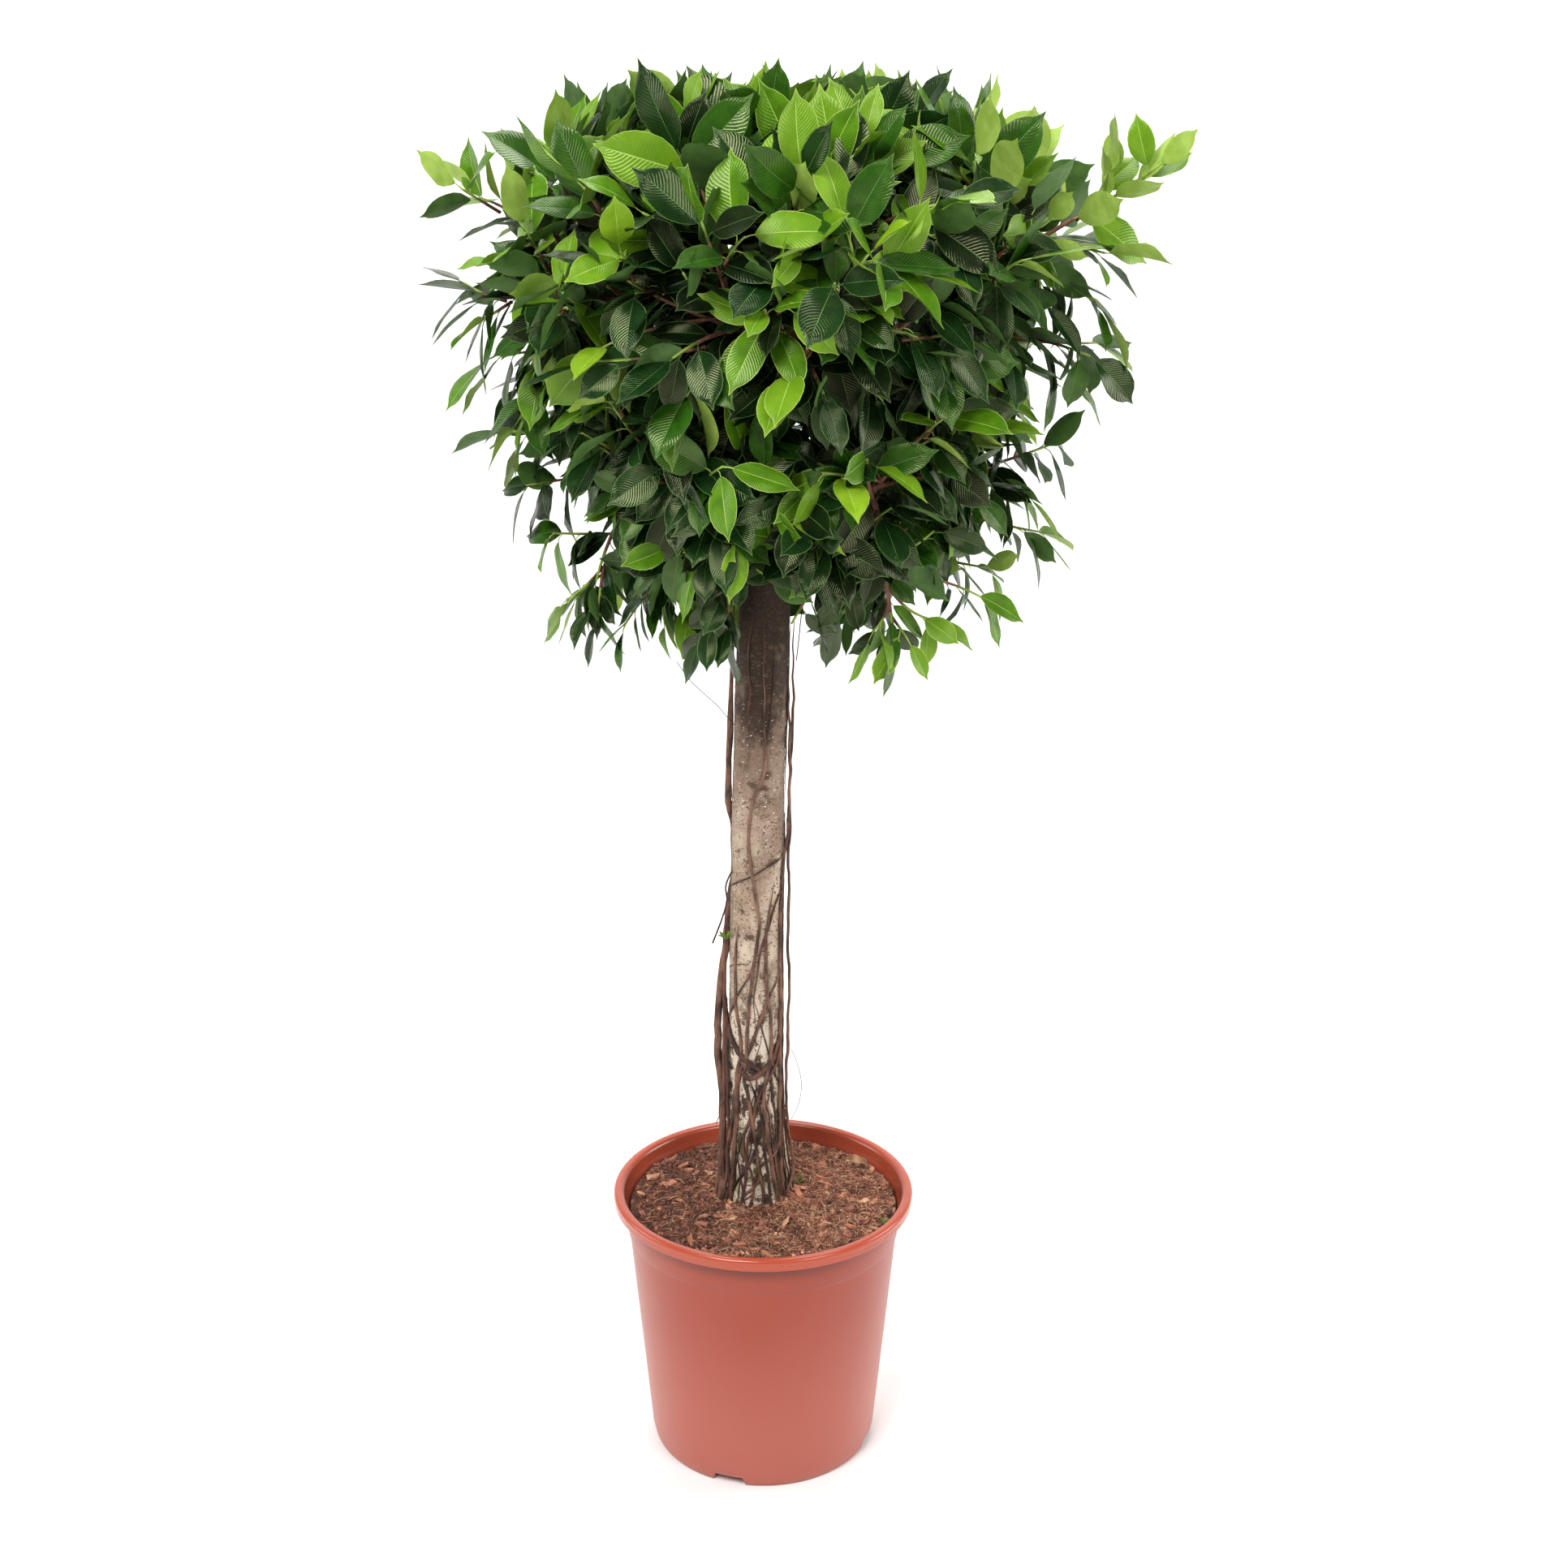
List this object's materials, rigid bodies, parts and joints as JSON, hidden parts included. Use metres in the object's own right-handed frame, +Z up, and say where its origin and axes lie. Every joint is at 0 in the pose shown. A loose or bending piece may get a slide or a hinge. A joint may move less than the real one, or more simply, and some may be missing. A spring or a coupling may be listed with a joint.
{
  "type": "standard topiary tree in a pot",
  "caption": "Fig tree trained as a standard: a rounded leafy head on one bare stem hung with aerial roots, in a round terracotta-coloured plastic pot.",
  "frame": {"origin": "the middle of the pot's flat underside", "axes": "+Z up along the pot's axis, -Y towards the viewer of the picture, +X to the viewer's right"},
  "size_m": [0.7076, 0.6469, 1.3481],
  "materials": {
    "pot_plastic": "satin",
    "soil": "loose and matte",
    "bark": "matte bark",
    "root_bark": "matte bark",
    "bough_bark": "matte bark",
    "foliage_low": "glossy leaves",
    "foliage_high": "glossy leaves",
    "foliage_top": "glossy leaves"
  },
  "bodies": {
    "root": {"pot": "pot_plastic", "soil": "soil", "trunk": "bark", "aerial_root_1": "root_bark", "aerial_root_2": "root_bark", "aerial_root_3": "root_bark", "aerial_root_4": "root_bark", "aerial_root_5": "root_bark", "aerial_root_6": "root_bark", "aerial_root_7": "root_bark", "aerial_root_8": "root_bark", "aerial_root_9": "root_bark", "bough_lower_1": "bough_bark", "bough_lower_2": "bough_bark", "bough_lower_3": "bough_bark", "bough_lower_4": "bough_bark", "bough_lower_5": "bough_bark", "bough_upper_1": "bough_bark", "bough_upper_2": "bough_bark", "bough_upper_3": "bough_bark", "bough_upper_4": "bough_bark", "leader": "bough_bark", "foliage_lower_1": "foliage_low", "foliage_lower_2": "foliage_low", "foliage_lower_3": "foliage_low", "foliage_lower_4": "foliage_low", "foliage_lower_5": "foliage_low", "foliage_upper_1": "foliage_high", "foliage_upper_2": "foliage_high", "foliage_upper_3": "foliage_high", "foliage_upper_4": "foliage_high", "foliage_top": "foliage_top"}
  },
  "joints": []
}
